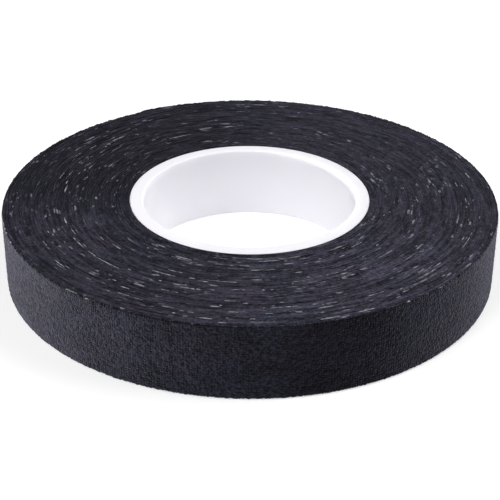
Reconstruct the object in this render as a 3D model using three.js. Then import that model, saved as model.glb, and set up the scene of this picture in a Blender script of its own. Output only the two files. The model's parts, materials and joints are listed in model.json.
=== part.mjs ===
// Roll of narrow cloth grip tape on a plastic core, lying flat. Millimetres, +Z up along the roll's axis,
// origin at the centre of the bore on the roll's lower face.
import * as THREE from 'three';

// Driving dimensions
const BORE_RADIUS = 19;
const CORE_WALL = 2.4;
const CORE_RECESS = 0.1; // each end of the core lies this far inside the tape's edges
const BORE_EDGE_ROUND = 0.7;
const RIM_EDGE_ROUND = 0.25;

const TAPE_WIDTH = 13.4;
const TAPE_THICKNESS = 0.45;
const ADHESIVE_THICKNESS = 0.12; // the inner part of the tape's thickness; the rest is woven cloth
const TURNS = 49.5;

const TIP_AZIMUTH = 120; // degrees, where the strip ends
const FREE_END_ANGLE = 60; // degrees of the last turn that lift off the roll
const FREE_END_SEGMENTS = 8;
const FREE_END_LIFT = 0.1; // keeps the swinging end off the surface that the roll lies on

const LAYER_GAP = 0.02; // between one layer and the next
const CUT_GAP = 0.05; // between two lengths of the strip

// Worked out from the driving dimensions
const CORE_RADIUS = BORE_RADIUS + CORE_WALL;
const ROOT_AZIMUTH = TIP_AZIMUTH - FREE_END_ANGLE;
const SEGMENT_ANGLE = FREE_END_ANGLE / FREE_END_SEGMENTS;
const FACET_ANGLE = SEGMENT_ANGLE / 2;
const FACETS = 360 / FACET_ANGLE;

const coreMaterial = new THREE.MeshStandardMaterial({ color: 0xf2f2f4, roughness: 0.35, metalness: 0 });
const clothMaterial = new THREE.MeshStandardMaterial({ color: 0x24242a, roughness: 0.9, metalness: 0 });
const adhesiveMaterial = new THREE.MeshStandardMaterial({ color: 0x101012, roughness: 0.55, metalness: 0 });

const roll = new THREE.Group();

function add(name, geometry, material) {
  const mesh = new THREE.Mesh(geometry, material.clone());
  mesh.name = name;
  roll.add(mesh);
}

// Inner face of the last turn: an Archimedean spiral that ends at the tip.
function stripInner(azimuth) {
  const turnsFromCore = TURNS - (TIP_AZIMUTH - azimuth) / 360;
  return CORE_RADIUS + TAPE_THICKNESS * turnsFromCore;
}

function polar(radius, azimuth) {
  const angle = THREE.MathUtils.degToRad(azimuth);
  return new THREE.Vector2(radius * Math.cos(angle), radius * Math.sin(angle));
}

// Azimuths from start to end with every whole facet between them.
function facetAzimuths(start, end) {
  const azimuths = [start];
  const first = Math.ceil((start + 0.01) / FACET_ANGLE);
  for (let facet = first; facet * FACET_ANGLE < end - 0.01; facet += 1) {
    azimuths.push(facet * FACET_ANGLE);
  }
  azimuths.push(end);
  return azimuths;
}

function extrudeBetween(shape, bottom, top) {
  const geometry = new THREE.ExtrudeGeometry(shape, { depth: top - bottom, bevelEnabled: false });
  geometry.translate(0, 0, bottom);
  return geometry;
}

// A length of one layer of the strip, between two depths measured out from the strip's inner face.
function layerArc(start, end, innerDepth, outerDepth, lift) {
  const azimuths = facetAzimuths(start, end);
  const outer = azimuths.map((azimuth) => polar(stripInner(azimuth) + outerDepth, azimuth));
  const inner = azimuths.map((azimuth) => polar(stripInner(azimuth) + innerDepth, azimuth));
  const outline = new THREE.Shape([...outer, ...inner.reverse()]);
  return extrudeBetween(outline, lift, TAPE_WIDTH - lift);
}

// Both layers of a length of the strip, with half a cut gap at each end.
function addStrip(clothName, adhesiveName, start, end, lift) {
  const endGap = THREE.MathUtils.radToDeg(CUT_GAP / 2 / stripInner(TIP_AZIMUTH));
  const from = start + endGap;
  const to = end - endGap;
  const adhesive = layerArc(from, to, 0, ADHESIVE_THICKNESS, lift);
  const cloth = layerArc(from, to, ADHESIVE_THICKNESS + LAYER_GAP, TAPE_THICKNESS, lift);
  add(clothName, cloth, clothMaterial);
  add(adhesiveName, adhesive, adhesiveMaterial);
}

// Quarter-round corner of the core's section: centre, radius and first angle, turning anticlockwise.
function cornerPoints(radius, height, round, firstAngle, steps) {
  const points = [];
  for (let step = 0; step <= steps; step += 1) {
    const angle = THREE.MathUtils.degToRad(firstAngle + (90 * step) / steps);
    points.push(new THREE.Vector2(radius + round * Math.cos(angle), height + round * Math.sin(angle)));
  }
  return points;
}

function coreGeometry() {
  const bottom = CORE_RECESS;
  const top = TAPE_WIDTH - CORE_RECESS;
  const bore = BORE_RADIUS + BORE_EDGE_ROUND;
  const rim = CORE_RADIUS - RIM_EDGE_ROUND;
  const section = [
    ...cornerPoints(rim, bottom + RIM_EDGE_ROUND, RIM_EDGE_ROUND, -90, 1),
    ...cornerPoints(rim, top - RIM_EDGE_ROUND, RIM_EDGE_ROUND, 0, 1),
    ...cornerPoints(bore, top - BORE_EDGE_ROUND, BORE_EDGE_ROUND, 90, 3),
    ...cornerPoints(bore, bottom + BORE_EDGE_ROUND, BORE_EDGE_ROUND, 180, 3),
  ];
  section.push(section[0].clone());
  const geometry = new THREE.LatheGeometry(section, FACETS);
  geometry.rotateX(Math.PI / 2);
  return geometry;
}

// The turns that stay stuck together: a ring that ends outside in the spiral under the last turn.
function woundGeometry() {
  const azimuths = facetAzimuths(TIP_AZIMUTH - 360, TIP_AZIMUTH);
  const outline = new THREE.Shape(
    azimuths.map((azimuth) => polar(stripInner(azimuth) - LAYER_GAP, azimuth)),
  );
  const hole = azimuths.slice(1).map((azimuth) => polar(CORE_RADIUS + LAYER_GAP, azimuth));
  outline.holes.push(new THREE.Path(hole));
  return extrudeBetween(outline, 0, TAPE_WIDTH);
}

add('core', coreGeometry(), coreMaterial);
add('wound_turns', woundGeometry(), clothMaterial);
addStrip('outer_turn_cloth', 'outer_turn_adhesive', TIP_AZIMUTH - 360, ROOT_AZIMUTH, 0);

for (let segment = 0; segment < FREE_END_SEGMENTS; segment += 1) {
  const start = ROOT_AZIMUTH + segment * SEGMENT_ANGLE;
  const number = segment + 1;
  addStrip(`end_cloth_${number}`, `end_adhesive_${number}`, start, start + SEGMENT_ANGLE, FREE_END_LIFT);
}

export default roll;
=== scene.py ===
"""Roll of narrow black cloth grip tape on a white plastic core, lying flat on a pale floor.

The strip of tape is built in its own unrolled coordinates (along, across, depth): metres from the end
that is stuck to the core, metres up from its lower edge, and metres out from its adhesive face. place()
winds those coordinates up. The tape's meshes keep them as the attribute "strip", which the materials
read, so the weave stays on the tape when its free end peels.
"""

import json
import math

import bpy
import numpy as np
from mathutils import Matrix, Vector


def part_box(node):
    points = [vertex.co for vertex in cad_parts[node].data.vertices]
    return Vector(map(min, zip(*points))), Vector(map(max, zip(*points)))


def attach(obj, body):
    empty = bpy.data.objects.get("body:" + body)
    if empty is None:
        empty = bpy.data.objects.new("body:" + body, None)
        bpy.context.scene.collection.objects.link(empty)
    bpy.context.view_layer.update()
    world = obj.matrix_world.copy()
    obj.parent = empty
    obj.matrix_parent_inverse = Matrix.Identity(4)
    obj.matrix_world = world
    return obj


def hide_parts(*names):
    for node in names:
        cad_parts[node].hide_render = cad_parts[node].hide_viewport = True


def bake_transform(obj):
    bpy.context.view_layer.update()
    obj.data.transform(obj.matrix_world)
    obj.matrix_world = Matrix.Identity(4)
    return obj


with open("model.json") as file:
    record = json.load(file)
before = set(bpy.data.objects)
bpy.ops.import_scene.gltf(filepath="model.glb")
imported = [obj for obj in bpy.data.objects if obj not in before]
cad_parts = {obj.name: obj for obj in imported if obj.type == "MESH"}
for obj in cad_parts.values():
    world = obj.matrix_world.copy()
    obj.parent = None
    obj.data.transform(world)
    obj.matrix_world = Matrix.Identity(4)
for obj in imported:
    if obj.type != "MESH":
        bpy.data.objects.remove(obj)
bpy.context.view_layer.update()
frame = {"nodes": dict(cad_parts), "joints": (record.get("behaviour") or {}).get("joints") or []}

MM = 0.001
TAU = 2 * math.pi

# ---------------------------------------------------------------- what the frame gives

core_low, core_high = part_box("core")
CORE_RADIUS = core_high.x
ROLL_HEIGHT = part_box("wound_turns")[1].z

peel_joints = frame["joints"]
hinge_azimuths = [math.atan2(joint["pos_m"][1], joint["pos_m"][0]) for joint in peel_joints]
SEGMENT_ANGLE = hinge_azimuths[1] - hinge_azimuths[0]
ROOT_AZIMUTH = hinge_azimuths[0]
TIP_AZIMUTH = ROOT_AZIMUTH + SEGMENT_ANGLE * len(peel_joints)

# ---------------------------------------------------------------- the tape's own dimensions

THICKNESS = 0.45 * MM
ADHESIVE = 0.12 * MM
TURN_GAP = 0.01 * MM
CLOTH_TOP = THICKNESS - TURN_GAP
TURNS = 49.5
EDGE_MARGIN = 0.13 * MM  # between the strip's mean edge and the roll's flat faces
STRIP_WIDTH = ROLL_HEIGHT - 2 * EDGE_MARGIN
THREADS_ACROSS = 30
THREAD = STRIP_WIDTH / THREADS_ACROSS
HALF_THREAD = THREAD / 2
FLOOR_GAP = 0.01 * MM
EDGE_DRIFT = 0.014 * MM  # how far a turn's edges wander, one sigma
DRIFT_STEP = 0.37  # turns between the places where the wander changes
FIRST_RAMP = 0.06  # share of the first turn, its end, in which the strip climbs onto its own start
RAMP_GROWTH = 0.09  # how much that share grows from turn to turn


def bounded_normal(random, size, limit=2):
    """Normal draws, none of them further out than limit."""
    return random.normal(size=size).clip(-limit, limit)


# One value for each place where the wander changes, and one to spare.
drift_values = bounded_normal(np.random.default_rng(11), int(TURNS / DRIFT_STEP) + 3)


def length_at(turns):
    """Metres of strip from the core to this many turns."""
    return TAU * (CORE_RADIUS * turns + THICKNESS * turns * turns / 2)


def turns_at(along):
    """How many turns this many metres of strip make."""
    return (np.sqrt(CORE_RADIUS**2 + THICKNESS * along / math.pi) - CORE_RADIUS) / THICKNESS


def turns_at_azimuth(azimuth):
    """The place on the last turn at this azimuth."""
    return TURNS - (TIP_AZIMUTH - azimuth) / TAU


def length_at_azimuth(azimuth):
    """Metres of strip from the core to this azimuth on the last turn."""
    return float(length_at(turns_at_azimuth(azimuth)))


def inner_radius(turns):
    """Radius of the strip's adhesive face. Early turns climb near their end, and later ones all along."""
    whole = np.floor(turns)
    part = turns - whole
    ramp = np.minimum(1.0, FIRST_RAMP + RAMP_GROWTH * whole)
    climb = np.clip((part - 1 + ramp) / ramp, 0, 1)
    return CORE_RADIUS + THICKNESS * (whole + climb)


def place(along, across, depth):
    """Points of the strip, wound up, in the row frame. Takes arrays of one shape."""
    turns = turns_at(along)
    radius = inner_radius(turns) + depth
    azimuth = TIP_AZIMUTH - TAU * (TURNS - turns)
    drift = EDGE_DRIFT * np.interp(turns / DRIFT_STEP, np.arange(len(drift_values)), drift_values)
    height = np.maximum(EDGE_MARGIN + across + drift, FLOOR_GAP)
    return np.stack([radius * np.cos(azimuth), radius * np.sin(azimuth), height], axis=-1)


STRIP_LENGTH = float(length_at(TURNS))
WOUND_END = turns_at_azimuth(TIP_AZIMUTH - TAU)  # where the last turn begins
WOUND_LENGTH = float(length_at(WOUND_END))

# ---------------------------------------------------------------- mesh helpers

SHARP_DEGREES = 50  # edges of the tape that turn more than this stay sharp
SLANTED = (0.3, 0.2, 1.0)  # a direction that no strand runs along


def make_object(name, points, faces, material, strip=None, sharp_degrees=None):
    """A mesh object with smooth faces. strip holds each point's unrolled coordinates."""
    mesh = bpy.data.meshes.new(name)
    mesh.from_pydata(points.tolist(), [], faces)
    if strip is not None:
        attribute = mesh.attributes.new("strip", "FLOAT_VECTOR", "POINT")
        attribute.data.foreach_set("vector", strip.astype(np.float32).ravel())
    mesh.polygons.foreach_set("use_smooth", np.ones(len(faces), bool))
    if sharp_degrees is not None:
        mesh.set_sharp_from_angle(angle=math.radians(sharp_degrees))
    mesh.materials.append(material)
    obj = bpy.data.objects.new(name, mesh)
    bpy.context.scene.collection.objects.link(obj)
    return obj


def swept_faces(sections, around):
    """Faces of a closed bar: quads between the sections, and a cap at each end."""
    index = np.arange(sections * around).reshape(sections, around)
    after = np.roll(index, -1, axis=1)
    quads = np.stack([index[:-1], index[1:], after[1:], after[:-1]], axis=-1)
    faces = quads.reshape(-1, 4).tolist()
    faces.append(index[0].tolist())
    faces.append(index[-1][::-1].tolist())
    return faces


def sweep_strip(name, strip, material):
    """A closed bar that follows the strip. strip is (sections, around, 3): along, across and depth."""
    sections, around = strip.shape[:2]
    points = place(strip[..., 0], strip[..., 1], strip[..., 2])
    faces = swept_faces(sections, around)
    return make_object(name, points.reshape(-1, 3), faces, material, strip.reshape(-1, 3), SHARP_DEGREES)


def tube_mesh(name, strands, sides, material, flatness):
    """Thin closed tubes, flatness times as high as wide. strands holds (strip points, radii) pairs."""
    angles = np.linspace(0, TAU, sides, endpoint=False)
    cosines = np.cos(angles)[None, :, None]
    sines = np.sin(angles)[None, :, None]
    all_points, all_strip, all_faces = [], [], []
    offset = 0
    for strip, radii in strands:
        middle = place(strip[:, 0], strip[:, 1], strip[:, 2])
        middle[:, 2] = np.maximum(middle[:, 2], radii + FLOOR_GAP)
        tangent = np.gradient(middle, axis=0)
        tangent /= np.linalg.norm(tangent, axis=1, keepdims=True)
        side = np.cross(tangent, SLANTED)
        side /= np.linalg.norm(side, axis=1, keepdims=True)
        other = np.cross(tangent, side)
        ring = cosines * side[:, None] + sines * other[:, None]
        ring[..., 2] *= flatness
        points = middle[:, None] + radii[:, None, None] * ring
        all_points.append(points.reshape(-1, 3))
        all_strip.append(np.repeat(strip, sides, axis=0))
        all_faces += [[v + offset for v in face] for face in swept_faces(len(strip), sides)]
        offset += len(strip) * sides
    return make_object(name, np.concatenate(all_points), all_faces, material, np.concatenate(all_strip))


def weave_relief(along, across):
    """Height of a plain weave from 0, in the pores, to 1, on the threads' crowns."""
    x = along / THREAD
    y = across / THREAD - 0.5
    over = 0.5 + 0.5 * np.cos(math.pi * x) * np.cos(math.pi * y)
    warp = np.abs(np.cos(math.pi * y)) * over
    weft = np.abs(np.cos(math.pi * x)) * (1 - over)
    return np.maximum(warp, weft)


# ---------------------------------------------------------------- node helpers


class Nodes:
    """Short names for building one material's node tree."""

    def __init__(self, name):
        self.material = bpy.data.materials.new(name)
        self.material.use_nodes = True
        self.tree = self.material.node_tree
        self.shader = self.tree.nodes["Principled BSDF"]

    def put(self, socket, value):
        """Links the socket to a node's output, or sets it to a plain value."""
        if isinstance(value, bpy.types.NodeSocket):
            self.tree.links.new(value, socket)
        else:
            socket.default_value = value

    def math(self, operation, a, b=0.0, c=0.0, clamp=False):
        node = self.tree.nodes.new("ShaderNodeMath")
        node.operation = operation
        node.use_clamp = clamp
        for socket, value in zip(node.inputs, (a, b, c)):
            self.put(socket, value)
        return node.outputs[0]

    def weighted(self, *pairs):
        """The sum of value times weight over all pairs."""
        total = None
        for value, weight in pairs:
            term = self.math("MULTIPLY", value, weight)
            total = term if total is None else self.math("ADD", total, term)
        return total

    def strip(self, scale=(1.0, 1.0, 1.0)):
        """The strip's unrolled coordinates, each times its scale."""
        source = self.tree.nodes.new("ShaderNodeAttribute")
        source.attribute_name = "strip"
        node = self.tree.nodes.new("ShaderNodeVectorMath")
        node.operation = "MULTIPLY"
        self.put(node.inputs[0], source.outputs["Vector"])
        self.put(node.inputs[1], scale)
        return node.outputs[0]

    def parts(self, vector):
        node = self.tree.nodes.new("ShaderNodeSeparateXYZ")
        self.put(node.inputs[0], vector)
        return node.outputs[0], node.outputs[1], node.outputs[2]

    def object_coordinates(self):
        return self.tree.nodes.new("ShaderNodeTexCoord").outputs["Object"]

    def length(self, vector):
        node = self.tree.nodes.new("ShaderNodeVectorMath")
        node.operation = "LENGTH"
        self.put(node.inputs[0], vector)
        return node.outputs["Value"]

    def radius(self, x, y):
        """Distance from the z axis."""
        squares = self.math("ADD", self.math("MULTIPLY", x, x), self.math("MULTIPLY", y, y))
        return self.math("SQRT", squares)

    def facing(self, vector, degrees):
        """Cosine of the angle around the z axis between the vector and this azimuth."""
        x, y, _ = self.parts(vector)
        angle = math.radians(degrees)
        reach = self.weighted((x, math.cos(angle)), (y, math.sin(angle)))
        return self.math("DIVIDE", reach, self.radius(x, y))

    def arcs(self, vector, around, outward):
        """Coordinates that stretch noise into arcs: slow around the z axis, fast outwards from it."""
        x, y, _ = self.parts(vector)
        radius = self.radius(x, y)
        node = self.tree.nodes.new("ShaderNodeCombineXYZ")
        self.put(node.inputs[0], self.math("MULTIPLY", self.math("DIVIDE", x, radius), around))
        self.put(node.inputs[1], self.math("MULTIPLY", self.math("DIVIDE", y, radius), around))
        self.put(node.inputs[2], self.math("MULTIPLY", radius, outward))
        return node.outputs[0]

    def noise(self, vector, scale, detail=3.0, roughness=0.55):
        node = self.tree.nodes.new("ShaderNodeTexNoise")
        self.put(node.inputs["Vector"], vector)
        node.inputs["Scale"].default_value = scale
        node.inputs["Detail"].default_value = detail
        node.inputs["Roughness"].default_value = roughness
        return node.outputs["Fac"]

    def spread(self, value, low, high, to_low=0.0, to_high=1.0):
        """value from low..high to to_low..to_high, smoothly and clamped."""
        node = self.tree.nodes.new("ShaderNodeMapRange")
        node.interpolation_type = "SMOOTHSTEP"
        self.put(node.inputs["Value"], value)
        node.inputs["From Min"].default_value = low
        node.inputs["From Max"].default_value = high
        node.inputs["To Min"].default_value = to_low
        node.inputs["To Max"].default_value = to_high
        return node.outputs["Result"]

    def window(self, value, limits, rise, fall):
        """0 outside the limits, with a smooth rise to 1 after the first and a fall before the second."""
        begun = self.spread(value, limits[0], limits[0] + rise)
        ended = self.spread(value, limits[1] - fall, limits[1], 1.0, 0.0)
        return self.math("MULTIPLY", begun, ended)

    def mix(self, factor, a, b):
        node = self.tree.nodes.new("ShaderNodeMix")
        node.data_type = "RGBA"
        self.put(node.inputs["Factor"], factor)
        self.put(node.inputs["A"], a)
        self.put(node.inputs["B"], b)
        return node.outputs["Result"]

    def bump(self, height, distance):
        node = self.tree.nodes.new("ShaderNodeBump")
        node.inputs["Strength"].default_value = 1.0
        node.inputs["Distance"].default_value = distance
        self.put(node.inputs["Height"], height)
        return node.outputs[0]

    def finish(self, color, roughness, normal=None, **values):
        """Sets the shader's inputs and returns the material. values are named with _ for spaces."""
        self.put(self.shader.inputs["Base Color"], color)
        self.put(self.shader.inputs["Roughness"], roughness)
        if normal is not None:
            self.put(self.shader.inputs["Normal"], normal)
        for socket, value in values.items():
            self.shader.inputs[socket.replace("_", " ")].default_value = value
        return self.material


# ---------------------------------------------------------------- colours and noise scales


def grey(value, blue=1.3):
    """A near-neutral colour, a little towards violet. blue is its blue over its green."""
    return (value * 1.02, value, value * blue, 1.0)


BLACK = (0.0, 0.0, 0.0, 1.0)
WHITE = (1.0, 1.0, 1.0, 1.0)
COOL_WHITE = (0.98, 0.98, 1.0, 1.0)
CLOTH_VIOLET = (0.0200, 0.0178, 0.0265, 1.0)
CLOTH_TEAL = (0.0168, 0.0187, 0.0285, 1.0)
EDGE_VIOLET = (0.70, 0.635, 0.95, 1.0)
EDGE_TEAL = (0.61, 0.65, 0.94, 1.0)
VIOLET_GLOSS = (0.76, 0.73, 0.98, 1.0)
PLASTIC_DULL = (0.77, 0.76, 0.80, 1.0)
PLASTIC_BRIGHT = (0.82, 0.81, 0.85, 1.0)
FLOOR_DULL = (0.77, 0.77, 0.77, 1.0)
FLOOR_BRIGHT = (0.79, 0.79, 0.79, 1.0)

PER_MILLIMETRE = (1000.0, 1000.0, 1000.0)

# Noise stays near 0.5. spread() stretches what lies between such limits to the whole of 0 to 1.
SOFT_LIMITS = (0.3, 0.7)
MIDDLE_LIMITS = (0.35, 0.65)
YARN_LIMITS = (0.38, 0.64)

# ---------------------------------------------------------------- materials

# Stretches of the last turn where its upper edge, and its whole face, are darkened as painted shade.
PAINTED_SHADE_EDGE = [length_at_azimuth(math.radians(degrees)) for degrees in (-150, -85)]
PAINTED_SHADE_FACE = [length_at_azimuth(math.radians(degrees)) for degrees in (-86, -53)]
# Azimuths in degrees towards which the cut edges carry painted light, palest, and painted shade, darkest.
PAINTED_LIGHT_AZIMUTH = -60
PAINTED_SHADE_AZIMUTH = 142

CLOTH_BUMP = 0.118 * MM
CUT_EDGE_BUMP = 0.075 * MM
ADHESIVE_BUMP = 0.1 * MM
PLASTIC_BUMP = 0.05 * MM


def woven(nodes):
    """The plain weave as nodes: (crown height, pore depth), both from 0 to 1."""
    x, y, _ = nodes.parts(nodes.strip((1 / THREAD, 1 / THREAD, 1.0)))
    cos_x = nodes.math("COSINE", nodes.math("MULTIPLY", x, math.pi))
    cos_y = nodes.math("COSINE", nodes.math("MULTIPLY", nodes.math("SUBTRACT", y, 0.5), math.pi))
    over = nodes.math("MULTIPLY_ADD", nodes.math("MULTIPLY", cos_x, cos_y), 0.5, 0.5)
    line_x = nodes.math("ABSOLUTE", cos_x)
    line_y = nodes.math("ABSOLUTE", cos_y)
    warp = nodes.math("MULTIPLY", line_y, over)
    weft = nodes.math("MULTIPLY", line_x, nodes.math("SUBTRACT", 1.0, over))
    crown = nodes.math("MAXIMUM", warp, weft)
    beside_x = nodes.math("SUBTRACT", 1.0, line_x)
    beside_y = nodes.math("SUBTRACT", 1.0, line_y)
    return crown, nodes.math("MULTIPLY", beside_x, beside_y)


def cloth_material():
    """Black cotton cloth filled with rubber: matte, mottled, with dark pores between the threads."""
    nodes = Nodes("black_cloth")
    millimetres = nodes.strip(PER_MILLIMETRE)
    crown, pore = woven(nodes)
    grain = nodes.noise(millimetres, 1.7, 2.0, 0.6)
    speck = nodes.noise(millimetres, 2.7, 1.0)
    clots = nodes.noise(millimetres, 0.6, 2.0)
    cloud = nodes.noise(nodes.strip((80.0, 130.0, 1000.0)), 1.0, 2.0)
    tint = nodes.noise(nodes.strip((70.0, 110.0, 1000.0)), 1.7, 2.0)
    open_pore = nodes.math("MULTIPLY", pore, nodes.spread(grain, 0.6, 0.4))
    fine = nodes.spread(nodes.weighted((grain, 0.5), (speck, 0.5)), 0.4, 0.6)
    clouded = nodes.spread(cloud, *MIDDLE_LIMITS, 0.0, 0.6)
    clotted = nodes.spread(clots, *MIDDLE_LIMITS, 0.0, 0.4)
    wide = nodes.math("ADD", clouded, clotted)
    tone = nodes.weighted((fine, 0.6), (wide, 0.4))
    tone = nodes.math("MULTIPLY", tone, nodes.math("SUBTRACT", 1.0, open_pore), clamp=True)
    tone = nodes.math("POWER", tone, 1.3)
    pale = nodes.mix(nodes.spread(tint, 0.4, 0.6), CLOTH_VIOLET, CLOTH_TEAL)
    color = nodes.mix(tone, grey(0.001, 1.0), pale)
    along, across, _ = nodes.parts(nodes.strip())
    # Painted shade: along one stretch the last turn's upper edge, and along another its whole face, are
    # darkened towards black.
    near_edge = nodes.spread(across, STRIP_WIDTH - 0.4 * MM, STRIP_WIDTH - 0.1 * MM, 0.0, 0.85)
    in_edge_shade = nodes.window(along, PAINTED_SHADE_EDGE, rise=8 * MM, fall=15 * MM)
    in_face_shade = nodes.window(along, PAINTED_SHADE_FACE, rise=7 * MM, fall=9 * MM)
    edge = nodes.math("MULTIPLY", near_edge, in_edge_shade)
    patch = nodes.math("MULTIPLY", in_face_shade, 0.4)
    color = nodes.mix(nodes.math("MAXIMUM", edge, patch), color, BLACK)
    height = nodes.weighted((crown, 0.2), (grain, 1.6), (speck, 1.5), (open_pore, -0.8))
    return nodes.finish(
        color,
        roughness=nodes.spread(grain, *SOFT_LIMITS, 0.8, 0.6),
        normal=nodes.bump(height, CLOTH_BUMP),
        Specular_IOR_Level=0.08,
        Specular_Tint=VIOLET_GLOSS,
        Sheen_Weight=0.2,
        Sheen_Roughness=0.35,
        Sheen_Tint=VIOLET_GLOSS,
    )


def cut_edge_material():
    """The slit edge of the cloth: black yarn with specks and streaks of undyed fibre, with painted light
    and shade by azimuth.
    """
    nodes = Nodes("cut_cloth_edge")
    position = nodes.object_coordinates()
    grain = nodes.noise(position, 2600.0, 2.0, 0.6)
    patch = nodes.noise(position, 1100.0, 2.0, 0.6)
    streak = nodes.noise(nodes.strip((420.0, 1500.0, 1500.0)), 1.0, 2.0, 0.6)
    ring = nodes.noise(nodes.arcs(position, 4.5, 1600.0), 1.0, 1.0)
    tone = nodes.weighted(
        (nodes.spread(grain, *YARN_LIMITS), 0.28),
        (nodes.spread(patch, *YARN_LIMITS), 0.2),
        (nodes.spread(streak, *YARN_LIMITS), 0.16),
        (nodes.spread(ring, 0.34, 0.68), 0.36),
    )
    tone = nodes.math("POWER", tone, 1.5)
    # Painted light and painted shade: the cut edges grow lighter towards one azimuth and more shaded
    # towards the other.
    painted_light = nodes.spread(nodes.facing(position, PAINTED_LIGHT_AZIMUTH), 0.72, 0.95, 0.067, 0.104)
    painted_shade = nodes.spread(nodes.facing(position, PAINTED_SHADE_AZIMUTH), 0.5, 0.88, 1.0, 0.3)
    tone = nodes.math("MULTIPLY", tone, nodes.math("MULTIPLY", painted_light, painted_shade))
    tint = nodes.spread(nodes.noise(position, 90.0, 1.0), 0.45, 0.65)
    color = nodes.mix(tone, BLACK, nodes.mix(tint, EDGE_VIOLET, EDGE_TEAL))
    dash = nodes.noise(nodes.strip((400.0, 900.0, 900.0)), 1.0, 2.0, 0.6)
    region = nodes.noise(nodes.arcs(position, 3.0, 350.0), 1.0, 1.0)
    undyed = nodes.spread(region, 0.48, 0.62, 0.15, 1.0)
    undyed = nodes.math("MULTIPLY", undyed, nodes.spread(dash, 0.585, 0.7))
    color = nodes.mix(undyed, color, grey(0.17, 1.18))
    height = nodes.weighted((streak, 0.5), (grain, 0.7))
    return nodes.finish(
        color,
        roughness=0.75,
        normal=nodes.bump(height, CUT_EDGE_BUMP),
        Specular_IOR_Level=0.07,
        Specular_Tint=VIOLET_GLOSS,
        Sheen_Weight=0.05,
        Sheen_Roughness=0.5,
        Sheen_Tint=VIOLET_GLOSS,
    )


def adhesive_material():
    """Tacky rubber: nearly black and dull, with the weave showing through, linty at its edges."""
    nodes = Nodes("rubber_adhesive")
    crown, _ = woven(nodes)
    smear = nodes.noise(nodes.strip((400.0, 900.0, 1000.0)), 1.0, 3.0)
    grain = nodes.noise(nodes.strip(PER_MILLIMETRE), 3.0, 3.0, 0.65)
    tone = nodes.weighted((smear, 0.5), (grain, 0.5))
    color = nodes.mix(nodes.spread(tone, *MIDDLE_LIMITS), grey(0.0035), grey(0.011, 1.4))
    _, across, _ = nodes.parts(nodes.strip())
    from_middle = nodes.math("ABSOLUTE", nodes.math("SUBTRACT", across, STRIP_WIDTH / 2))
    linty = nodes.spread(from_middle, STRIP_WIDTH / 2 - 0.3 * MM, STRIP_WIDTH / 2 - 0.1 * MM)
    color = nodes.mix(linty, color, grey(0.014, 1.5))
    height = nodes.weighted((crown, 0.6), (grain, 0.6))
    return nodes.finish(
        color,
        roughness=nodes.spread(smear, *SOFT_LIMITS, 0.5, 0.7),
        normal=nodes.bump(height, ADHESIVE_BUMP),
        Specular_IOR_Level=0.18,
        Specular_Tint=VIOLET_GLOSS,
    )


def fibre_material(name, dark, pale):
    """Loose cotton fibre, unevenly dyed."""
    nodes = Nodes(name)
    tint = nodes.noise(nodes.strip((900.0, 2000.0, 2500.0)), 1.0, 2.0)
    color = nodes.mix(nodes.spread(tint, 0.34, 0.66), grey(dark), grey(pale, 1.14))
    return nodes.finish(color, roughness=0.7, Specular_IOR_Level=0.15, Sheen_Weight=0.2)


def core_material():
    """White moulded plastic, satin, with the faint unevenness of a moulding."""
    nodes = Nodes("white_plastic")
    position = nodes.object_coordinates()
    haze = nodes.noise(position, 60.0, 2.0)
    skin = nodes.noise(position, 900.0, 3.0)
    ripple = nodes.noise(position, 140.0, 1.0)
    height = nodes.weighted((ripple, 1.0), (skin, 0.12))
    return nodes.finish(
        nodes.mix(haze, PLASTIC_DULL, PLASTIC_BRIGHT),
        roughness=nodes.spread(skin, *SOFT_LIMITS, 0.4, 0.5),
        normal=nodes.bump(height, PLASTIC_BUMP),
        Specular_IOR_Level=0.12,
        Subsurface_Weight=0.5,
        Subsurface_Scale=2.0 * MM,
        Subsurface_Radius=(1.0, 1.0, 1.0),
    )


cloth = cloth_material()
cut_edge = cut_edge_material()
adhesive = adhesive_material()
pale_fibre = fibre_material("undyed_fibre", 0.04, 0.24)
dark_fibre = fibre_material("black_fibre", 0.01, 0.05)
plastic = core_material()

# ---------------------------------------------------------------- camera, lights and floor

# The camera's place is given in roll radii from the roll's middle.
ROLL_RADIUS = 43.9 * MM
CAMERA_DISTANCE = 5.362 * ROLL_RADIUS
CAMERA_ELEVATION = math.radians(29.07)
CAMERA_ROLL = math.radians(0.35)
LOOKED_AT = Vector((0.003 * ROLL_RADIUS, -0.185 * ROLL_RADIUS, ROLL_HEIGHT / 2))
SENSOR_MM = 36
LENS_MM = 96.4

# Places and sizes of lights and floor are in metres.
FLOOR_SIZE = 6
FLOOR_GLOW = 0.3
GLOW_RISES = (0.2, 0.8)  # distances from the roll between which the floor's glow rises to white
AMBIENT = 0.15  # strength of the light all round
BACKDROP = 1.0  # strength of the white that the camera sees behind everything
ROLL_FOOT = (0, 0, 0)
ROLL_SIDE = (0, 0, 0.005)
SOFTBOX = (0.3, 0.3)


def add_camera():
    data = bpy.data.cameras.new("camera")
    data.sensor_width = SENSOR_MM
    data.lens = LENS_MM
    data.clip_start = 0.01
    camera = bpy.data.objects.new("camera", data)
    bpy.context.scene.collection.objects.link(camera)
    back = Vector((0, -math.cos(CAMERA_ELEVATION), math.sin(CAMERA_ELEVATION)))
    camera.location = LOOKED_AT + back * CAMERA_DISTANCE
    camera.rotation_euler = (-back).to_track_quat("-Z", "Y").to_euler()
    camera.rotation_euler.rotate_axis("Z", CAMERA_ROLL)
    bpy.context.scene.camera = camera


def add_area_light(name, position, target, size, watts):
    data = bpy.data.lights.new(name, "AREA")
    data.shape = "RECTANGLE"
    data.size, data.size_y = size
    data.energy = watts
    light = bpy.data.objects.new(name, data)
    light.location = position
    light.rotation_euler = (Vector(target) - Vector(position)).to_track_quat("-Z", "Y").to_euler()
    light.visible_camera = False
    bpy.context.scene.collection.objects.link(light)


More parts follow.
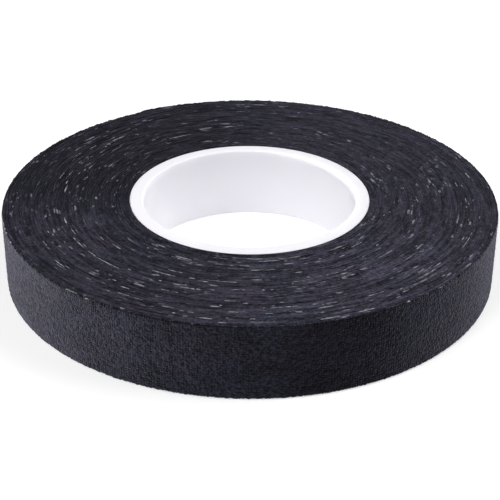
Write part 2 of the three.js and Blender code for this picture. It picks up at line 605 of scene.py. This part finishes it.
def add_floor():
    """A pale floor that brightens into the white backdrop beyond the lights' reach."""
    nodes = Nodes("pale_floor")
    position = nodes.object_coordinates()
    color = nodes.mix(nodes.noise(position, 8.0, 2.0), FLOOR_DULL, FLOOR_BRIGHT)
    glow = nodes.spread(nodes.length(position), *GLOW_RISES, FLOOR_GLOW, BACKDROP)
    nodes.put(nodes.shader.inputs["Emission Color"], WHITE)
    nodes.put(nodes.shader.inputs["Emission Strength"], glow)
    bpy.ops.mesh.primitive_plane_add(size=FLOOR_SIZE, location=ROLL_FOOT)
    floor = bpy.context.object
    floor.name = "floor"
    floor.data.materials.append(nodes.finish(color, roughness=0.9, Specular_IOR_Level=0.1))


def add_world():
    """A dim even light all round, which the camera sees as a white backdrop."""
    world = bpy.data.worlds.new("studio")
    world.use_nodes = True
    tree = world.node_tree
    seen = tree.nodes.new("ShaderNodeLightPath").outputs["Is Camera Ray"]
    strength = tree.nodes.new("ShaderNodeMapRange")
    strength.inputs["To Min"].default_value = AMBIENT
    strength.inputs["To Max"].default_value = BACKDROP
    tree.links.new(seen, strength.inputs["Value"])
    background = tree.nodes["Background"]
    background.inputs["Color"].default_value = COOL_WHITE
    tree.links.new(strength.outputs["Result"], background.inputs["Strength"])
    bpy.context.scene.world = world
    bpy.context.scene.view_settings.view_transform = "Standard"


add_camera()
add_floor()
add_world()
add_area_light("over_left", (-0.25, -0.2, 0.35), ROLL_FOOT, SOFTBOX, watts=1.6)
add_area_light("over_right", (0.33, 0.0, 0.33), ROLL_FOOT, SOFTBOX, watts=1.25)
add_area_light("over_behind", (0.25, 0.2, 0.35), ROLL_FOOT, SOFTBOX, watts=0.6)
add_area_light("card_left", (-0.4, 0.0, 0.016), ROLL_SIDE, (0.3, 0.024), watts=3.3)
add_area_light("card_right", (0.34, 0.22, 0.02), ROLL_SIDE, (0.3, 0.03), watts=0.9)

# ---------------------------------------------------------------- core

CORE_SEGMENTS = 256
BORE_EDGE_ROUND = 0.2 * MM
RIM_EDGE_ROUND = 0.25 * MM
RIM_EDGE_STEPS = 4
BORE_EDGE_STEPS = 8
WALL_STEPS = 7


def rounded_corner(radius, height, size, first_angle, steps):
    """A quarter circle, as (radius, height) points."""
    angles = np.radians(first_angle + np.linspace(0, 90, steps + 1))
    return np.stack([radius + size * np.cos(angles), height + size * np.sin(angles)], axis=-1)


def core_section():
    """Outline of the ring's section, as (radius, height) points. The bore is as wide as the CAD's."""
    cad_points = np.array([vertex.co for vertex in frame["nodes"]["core"].data.vertices])
    bore = float(np.hypot(cad_points[:, 0], cad_points[:, 1]).min())
    outer = CORE_RADIUS - RIM_EDGE_ROUND
    inner = bore + BORE_EDGE_ROUND
    foot = core_low.z + RIM_EDGE_ROUND
    top = core_high.z - BORE_EDGE_ROUND
    wall = np.linspace(top, foot, WALL_STEPS + 2)[1:-1]
    return np.concatenate([
        rounded_corner(outer, foot, RIM_EDGE_ROUND, -90, RIM_EDGE_STEPS),
        rounded_corner(outer, core_high.z - RIM_EDGE_ROUND, RIM_EDGE_ROUND, 0, RIM_EDGE_STEPS),
        rounded_corner(inner, top, BORE_EDGE_ROUND, 90, BORE_EDGE_STEPS),
        np.stack([np.full(WALL_STEPS, bore), wall], axis=-1),
        rounded_corner(bore + RIM_EDGE_ROUND, foot, RIM_EDGE_ROUND, 180, RIM_EDGE_STEPS),
    ])


def turned_ring(name, section, material):
    """A closed ring: the section turned once round the z axis."""
    around = len(section)
    angles = np.linspace(0, TAU, CORE_SEGMENTS, endpoint=False)[:, None]
    radius = section[None, :, 0]
    height = np.broadcast_to(section[None, :, 1], (CORE_SEGMENTS, around))
    points = np.stack([radius * np.cos(angles), radius * np.sin(angles), height], axis=-1)
    index = np.arange(CORE_SEGMENTS * around).reshape(CORE_SEGMENTS, around)
    onward = np.roll(index, -1, axis=0)
    quads = np.stack(
        [index, onward, np.roll(onward, -1, axis=1), np.roll(index, -1, axis=1)], axis=-1
    )
    return make_object(name, points.reshape(-1, 3), quads.reshape(-1, 4).tolist(), material)


def add_core():
    core = turned_ring("core_ring", core_section(), plastic)
    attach(core, "roll")
    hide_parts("core")


add_core()

# ---------------------------------------------------------------- the wound strip

SECTIONS_PER_TURN = 120
ADHESIVE_RECESS = 0.01 * MM
CLOTH_CHAMFER = 0.02 * MM
EDGE_HEIGHT = 0.3 * MM  # of the piece that stands for the cloth's slit edge
EDGE_ROUND = 0.012 * MM
EDGE_ROUGHNESS = 0.006 * MM
# How much of the adhesive's thickness the slit cloth is smeared over: a share that varies smoothly,
# because it is a weighted sum over a few sections.
SMEAR_MEAN = 0.8
SMEAR_MOST = 0.95
SMEAR_VARIES = 0.5
SMEAR_SECTIONS = 5
SMEAR_WEIGHT = 0.45


def bar(along, corners):
    """The same section all along. corners is a list of (across, depth)."""
    section = np.array(corners)
    shape = (len(along), len(section), 1)
    return np.concatenate([
        np.broadcast_to(along[:, None, None], shape),
        np.broadcast_to(section[None, :, :1], shape),
        np.broadcast_to(section[None, :, 1:], shape),
    ], axis=2)


def chamfered(low, high, inner, outer, chamfer):
    """Corners of a chamfered rectangle, in order."""
    return [
        (low, inner + chamfer),
        (low, outer - chamfer),
        (low + chamfer, outer),
        (high - chamfer, outer),
        (high, outer - chamfer),
        (high, inner + chamfer),
        (high - chamfer, inner),
        (low + chamfer, inner),
    ]


def adhesive_bar(along):
    low, high = ADHESIVE_RECESS, STRIP_WIDTH - ADHESIVE_RECESS
    return bar(along, [(low, 0), (low, ADHESIVE), (high, ADHESIVE), (high, 0)])


def slit_edge(along, level, inward, seed):
    """The cloth's slit edge: slightly uneven, and smeared over most of the adhesive's edge."""
    random = np.random.default_rng(seed)
    draws = random.normal(size=len(along) + SMEAR_SECTIONS - 1)
    smear = np.convolve(draws, np.full(SMEAR_SECTIONS, SMEAR_WEIGHT), "valid")
    inner = ADHESIVE * (1 - (SMEAR_MEAN + SMEAR_VARIES * smear).clip(0, SMEAR_MOST))
    outer = np.full(len(along), CLOTH_TOP)
    inset = np.array([EDGE_HEIGHT, EDGE_HEIGHT, EDGE_ROUND, 0, 0, EDGE_ROUND])
    depth = np.stack([inner, outer, outer, outer - EDGE_ROUND, inner + EDGE_ROUND, inner], axis=1)
    if inward > 0:
        inset, depth = inset[::-1], depth[:, ::-1]
    rough = EDGE_ROUGHNESS * bounded_normal(random, depth.shape)
    across = level + inward * (inset[None] + rough)
    return np.stack([np.broadcast_to(along[:, None], depth.shape), across, depth], axis=-1)


def add_wound_strip():
    turns = np.linspace(0, WOUND_END, int(WOUND_END * SECTIONS_PER_TURN))
    along = length_at(turns)
    corners = chamfered(EDGE_HEIGHT, STRIP_WIDTH - EDGE_HEIGHT, ADHESIVE, CLOTH_TOP, CLOTH_CHAMFER)
    wound = sweep_strip("wound_cloth", bar(along, corners), cloth)
    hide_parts("wound_turns")
    glue_strip = adhesive_bar(along)
    # Rubber fills the wedge between the core and the place where the tape climbs over its own start.
    lift = (inner_radius(turns) - CORE_RADIUS)[:, None]
    on_core = (turns < 1 + 1 / SECTIONS_PER_TURN)[:, None] & (glue_strip[..., 2] == 0)
    glue_strip[..., 2] -= np.where(on_core, lift, 0)
    glue = sweep_strip("wound_adhesive", glue_strip, adhesive)
    top_section = slit_edge(along, level=STRIP_WIDTH, inward=-1, seed=3)
    bottom_section = slit_edge(along, level=0, inward=1, seed=4)
    upper = sweep_strip("cut_edge_top", top_section, cut_edge)
    lower = sweep_strip("cut_edge_bottom", bottom_section, cut_edge)
    for piece in (wound, glue, upper, lower):
        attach(piece, "roll")
    return wound, glue, upper, lower


wound_cloth, wound_adhesive, edge_top, edge_bottom = add_wound_strip()

# ---------------------------------------------------------------- the last turn and its free end

# The outer face starts below the cloth's top, and the weave and an unevenness are added to it, all as
# shares of the relief.
RELIEF = 0.06 * MM
RELIEF_BELOW_TOP = 0.65
RELIEF_OF_WEAVE = 0.35
RELIEF_UNEVENNESS = 0.45
RAGGED = 0.06 * MM  # how far the edges stray across the tape, one sigma
EDGE_DROP = 0.1 * MM  # from the cloth's top to its ragged edges
EDGE_TUCK = 0.04 * MM  # from the ragged edges to those of the cloth's inner face
FRAY = 0.12 * MM  # how far the cut end strays along the tape, at most
TONGUE_INSET = 0.03 * MM
# The last turn is built in whole half threads, counted from the strip's start.
FIRST_STEP = round(WOUND_LENGTH / HALF_THREAD)
LAST_STEP = round(STRIP_LENGTH / HALF_THREAD)
STEPS = LAST_STEP - FIRST_STEP + 1

relief_random = np.random.default_rng(21)
uneven = relief_random.normal(size=(STEPS + 1, 2 * THREADS_ACROSS))
uneven = uneven[:-1, :-1] + uneven[1:, :-1] + uneven[:-1, 1:] + uneven[1:, 1:]
uneven = (uneven / 2).clip(-2, 2)
ragged = bounded_normal(relief_random, (STEPS, 2))


def woven_strip(first, last):
    """Sections of cloth from one half thread to another, whose outer face has the weave's relief."""
    rows = np.arange(1, 2 * THREADS_ACROSS) * HALF_THREAD
    along = np.arange(first, last + 1) * HALF_THREAD
    x, y = np.meshgrid(along, rows, indexing="ij")
    table = slice(first - FIRST_STEP, last + 1 - FIRST_STEP)
    share = RELIEF_OF_WEAVE * weave_relief(x, y) - RELIEF_BELOW_TOP
    face = CLOTH_TOP + RELIEF * (share + RELIEF_UNEVENNESS * uneven[table])
    low = RAGGED * ragged[table, :1]
    high = STRIP_WIDTH + RAGGED * ragged[table, 1:]
    inner = np.full_like(low, ADHESIVE)
    outer = np.full_like(low, CLOTH_TOP - EDGE_DROP)
    across = np.hstack([low + EDGE_TUCK, low, y, high, high - EDGE_TUCK])
    depth = np.hstack([inner, outer, face, outer, inner])
    return np.stack([np.broadcast_to(along[:, None], across.shape), across, depth], axis=-1)


def with_tongue(strip):
    """The strip with a thinner tongue, which lies inside the next length and keeps the joint closed."""
    end = strip[-1:]
    middle = (end.min(axis=1, keepdims=True) + end.max(axis=1, keepdims=True)) / 2
    root = end + TONGUE_INSET * np.sign(middle - end)
    tip = root + np.array([HALF_THREAD, 0, 0])
    return np.concatenate([strip, root, tip])


def add_last_turn_length(suffix, first, last):
    """Cloth and adhesive of the last turn, from one half thread to another."""
    strip = woven_strip(first, last)
    glue_strip = adhesive_bar(strip[:, 0, 0])
    if last == LAST_STEP:
        strip[-1, :, 0] += FRAY * bounded_normal(relief_random, strip.shape[1], 1)
    else:
        strip = with_tongue(strip)
        glue_strip = with_tongue(glue_strip)
    face = sweep_strip("cloth_" + suffix, strip, cloth)
    glue = sweep_strip("adhesive_" + suffix, glue_strip, adhesive)
    return face, glue


def add_last_turn():
    starts = [length_at_azimuth(azimuth - SEGMENT_ANGLE / 2) for azimuth in hinge_azimuths]
    cuts = [round(start / HALF_THREAD) for start in starts] + [LAST_STEP]
    face, glue = add_last_turn_length("outer_turn", FIRST_STEP, cuts[0])
    for piece, node in ((face, "outer_turn_cloth"), (glue, "outer_turn_adhesive")):
        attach(piece, "roll")
        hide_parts(node)
    free = []
    for number, joint in enumerate(peel_joints, start=1):
        pieces = add_last_turn_length(f"end_{number}", cuts[number - 1], cuts[number])
        for piece, kind in zip(pieces, ("cloth", "adhesive")):
            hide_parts(f"end_{kind}_{number}")
            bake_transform(piece)
            free.append(piece)
    return face, glue, free


outer_cloth, outer_adhesive, free_pieces = add_last_turn()

# ---------------------------------------------------------------- loose threads and fibres

TOP_THREADS = 205
BOTTOM_THREADS = 120
FIBRES = 1500
FREE_START = length_at_azimuth(ROOT_AZIMUTH - SEGMENT_ANGLE)
YARN_DEPTH = (ADHESIVE + CLOTH_TOP) / 2
YARN_DEPTH_VARIES = 0.06 * MM
THREADIEST_AZIMUTH = math.radians(-110)
CLUSTER_MOST = 5
CLUSTER_LENGTH = 7 * MM  # along the tape, one sigma
CLUSTER_TURNS = (-2, -1, 0, 0, 0, 1, 2)  # a thread's turn, counted from its cluster's middle one
THREAD_SHORTEST = 0.4 * MM
THREAD_LONGEST = 8 * MM
THREAD_MEAN_EXTRA = 1.8 * MM  # on top of the shortest
THREAD_STEP = 0.35 * MM
THREAD_RADII = (0.07 * MM, 0.13 * MM)
THREAD_SUNK = 0.02 * MM  # below the cut edge
THREAD_ENDS_SUNK = 0.06 * MM  # on top of that
THREAD_WAVERS_UP = 0.012 * MM
THREAD_WAVERS_OUT = 0.01 * MM
THREAD_FLATNESS = 0.55
THREAD_SIDES = 8
FIBRE_SIDES = 4
FIBRE_LENGTHS = (0.3 * MM, 1.3 * MM)
FIBRE_RADII = (0.009 * MM, 0.016 * MM)
FIBRE_POINTS = 5
FACE_FIBRE_ARCH = 0.13 * MM
EDGE_FIBRE_ARCH = 0.12 * MM


def edge_thread(random, turn, top):
    """One thread of the cluster at this turn, as (strip points, radii), or None if it passes the ends."""
    own_turn = turn + random.choice(CLUSTER_TURNS)
    centre = length_at(own_turn) + random.normal() * CLUSTER_LENGTH
    length = min(THREAD_LONGEST, THREAD_SHORTEST + random.exponential(THREAD_MEAN_EXTRA))
    if not length < centre < FREE_START - length:
        return None
    steps = max(5, int(length / THREAD_STEP))
    t = np.linspace(-1, 1, steps)
    sunk = THREAD_SUNK + THREAD_ENDS_SUNK * np.abs(t) ** 3
    sunk = sunk - THREAD_WAVERS_UP * random.normal(size=steps)
    across = STRIP_WIDTH - sunk if top else sunk
    own_depth = YARN_DEPTH + random.normal() * YARN_DEPTH_VARIES
    depth = own_depth + THREAD_WAVERS_OUT * random.normal(size=steps)
    taper = 1 - 0.5 * np.abs(t) ** 2.5
    radii = random.uniform(*THREAD_RADII) * taper * (1 + 0.2 * bounded_normal(random, steps, 1.5))
    return np.stack([centre + t * length / 2, across, depth], axis=1), radii


def edge_threads(count, top, seed):
    """Undyed threads lying along the turns' cut edges, in clusters, most of them towards one side."""
    random = np.random.default_rng(seed)
    strands = []
    while len(strands) < count:
        turn = turns_at(random.uniform(0.02, 0.995) * FREE_START)
        azimuth = TIP_AZIMUTH - TAU * (TURNS - turn)
        if random.uniform() > 0.5 + 0.45 * math.cos(azimuth - THREADIEST_AZIMUTH):
            continue
        for _ in range(random.integers(1, CLUSTER_MOST, endpoint=True)):
            strand = edge_thread(random, turn, top)
            if strand is not None:
                strands.append(strand)
    return strands


def loose_fibre(random):
    """A fine fibre on the last turn's outer face or the roll's upper edge, as (strip points, radii)."""
    length = random.uniform(*FIBRE_LENGTHS)
    lean = random.uniform(-1, 1)
    t = np.linspace(0, 1, FIBRE_POINTS)
    on_face = random.uniform() < 0.5
    if on_face:
        start = random.uniform(WOUND_LENGTH + 2 * MM, FREE_START - 2 * MM)
        root = random.uniform(0.5 * MM, STRIP_WIDTH - 0.3 * MM)
        across = root + t * length * random.uniform(-0.5, 0.5)
        depth = CLOTH_TOP + FACE_FIBRE_ARCH * np.sin(t * math.pi * random.uniform(0.3, 0.9))
    else:
        start = random.uniform(0.05, 0.995) * FREE_START
        across = STRIP_WIDTH + EDGE_FIBRE_ARCH * np.sin(t * math.pi * random.uniform(0.4, 0.9))
        depth = random.uniform(ADHESIVE, CLOTH_TOP) + t * length * random.uniform(-0.25, 0.25)
    along = start + (t + 0.15 * np.sin(3 * t)) * length * lean
    return np.stack([along, across, depth], axis=1), random.uniform(*FIBRE_RADII) * (1 - 0.6 * t)


def loose_fibres(count, seed):
    random = np.random.default_rng(seed)
    return [loose_fibre(random) for _ in range(count)]


threads_above = edge_threads(TOP_THREADS, top=True, seed=31)
threads_below = edge_threads(BOTTOM_THREADS, top=False, seed=32)
fibres = loose_fibres(FIBRES, seed=33)
for name, strands, sides, material, flatness in (
    ("edge_threads_top", threads_above, THREAD_SIDES, pale_fibre, THREAD_FLATNESS),
    ("edge_threads_bottom", threads_below, THREAD_SIDES, pale_fibre, THREAD_FLATNESS),
    ("loose_fibres", fibres, FIBRE_SIDES, dark_fibre, 1.0),
):
    piece = tube_mesh(name, strands, sides, material, flatness)
    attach(piece, "roll")
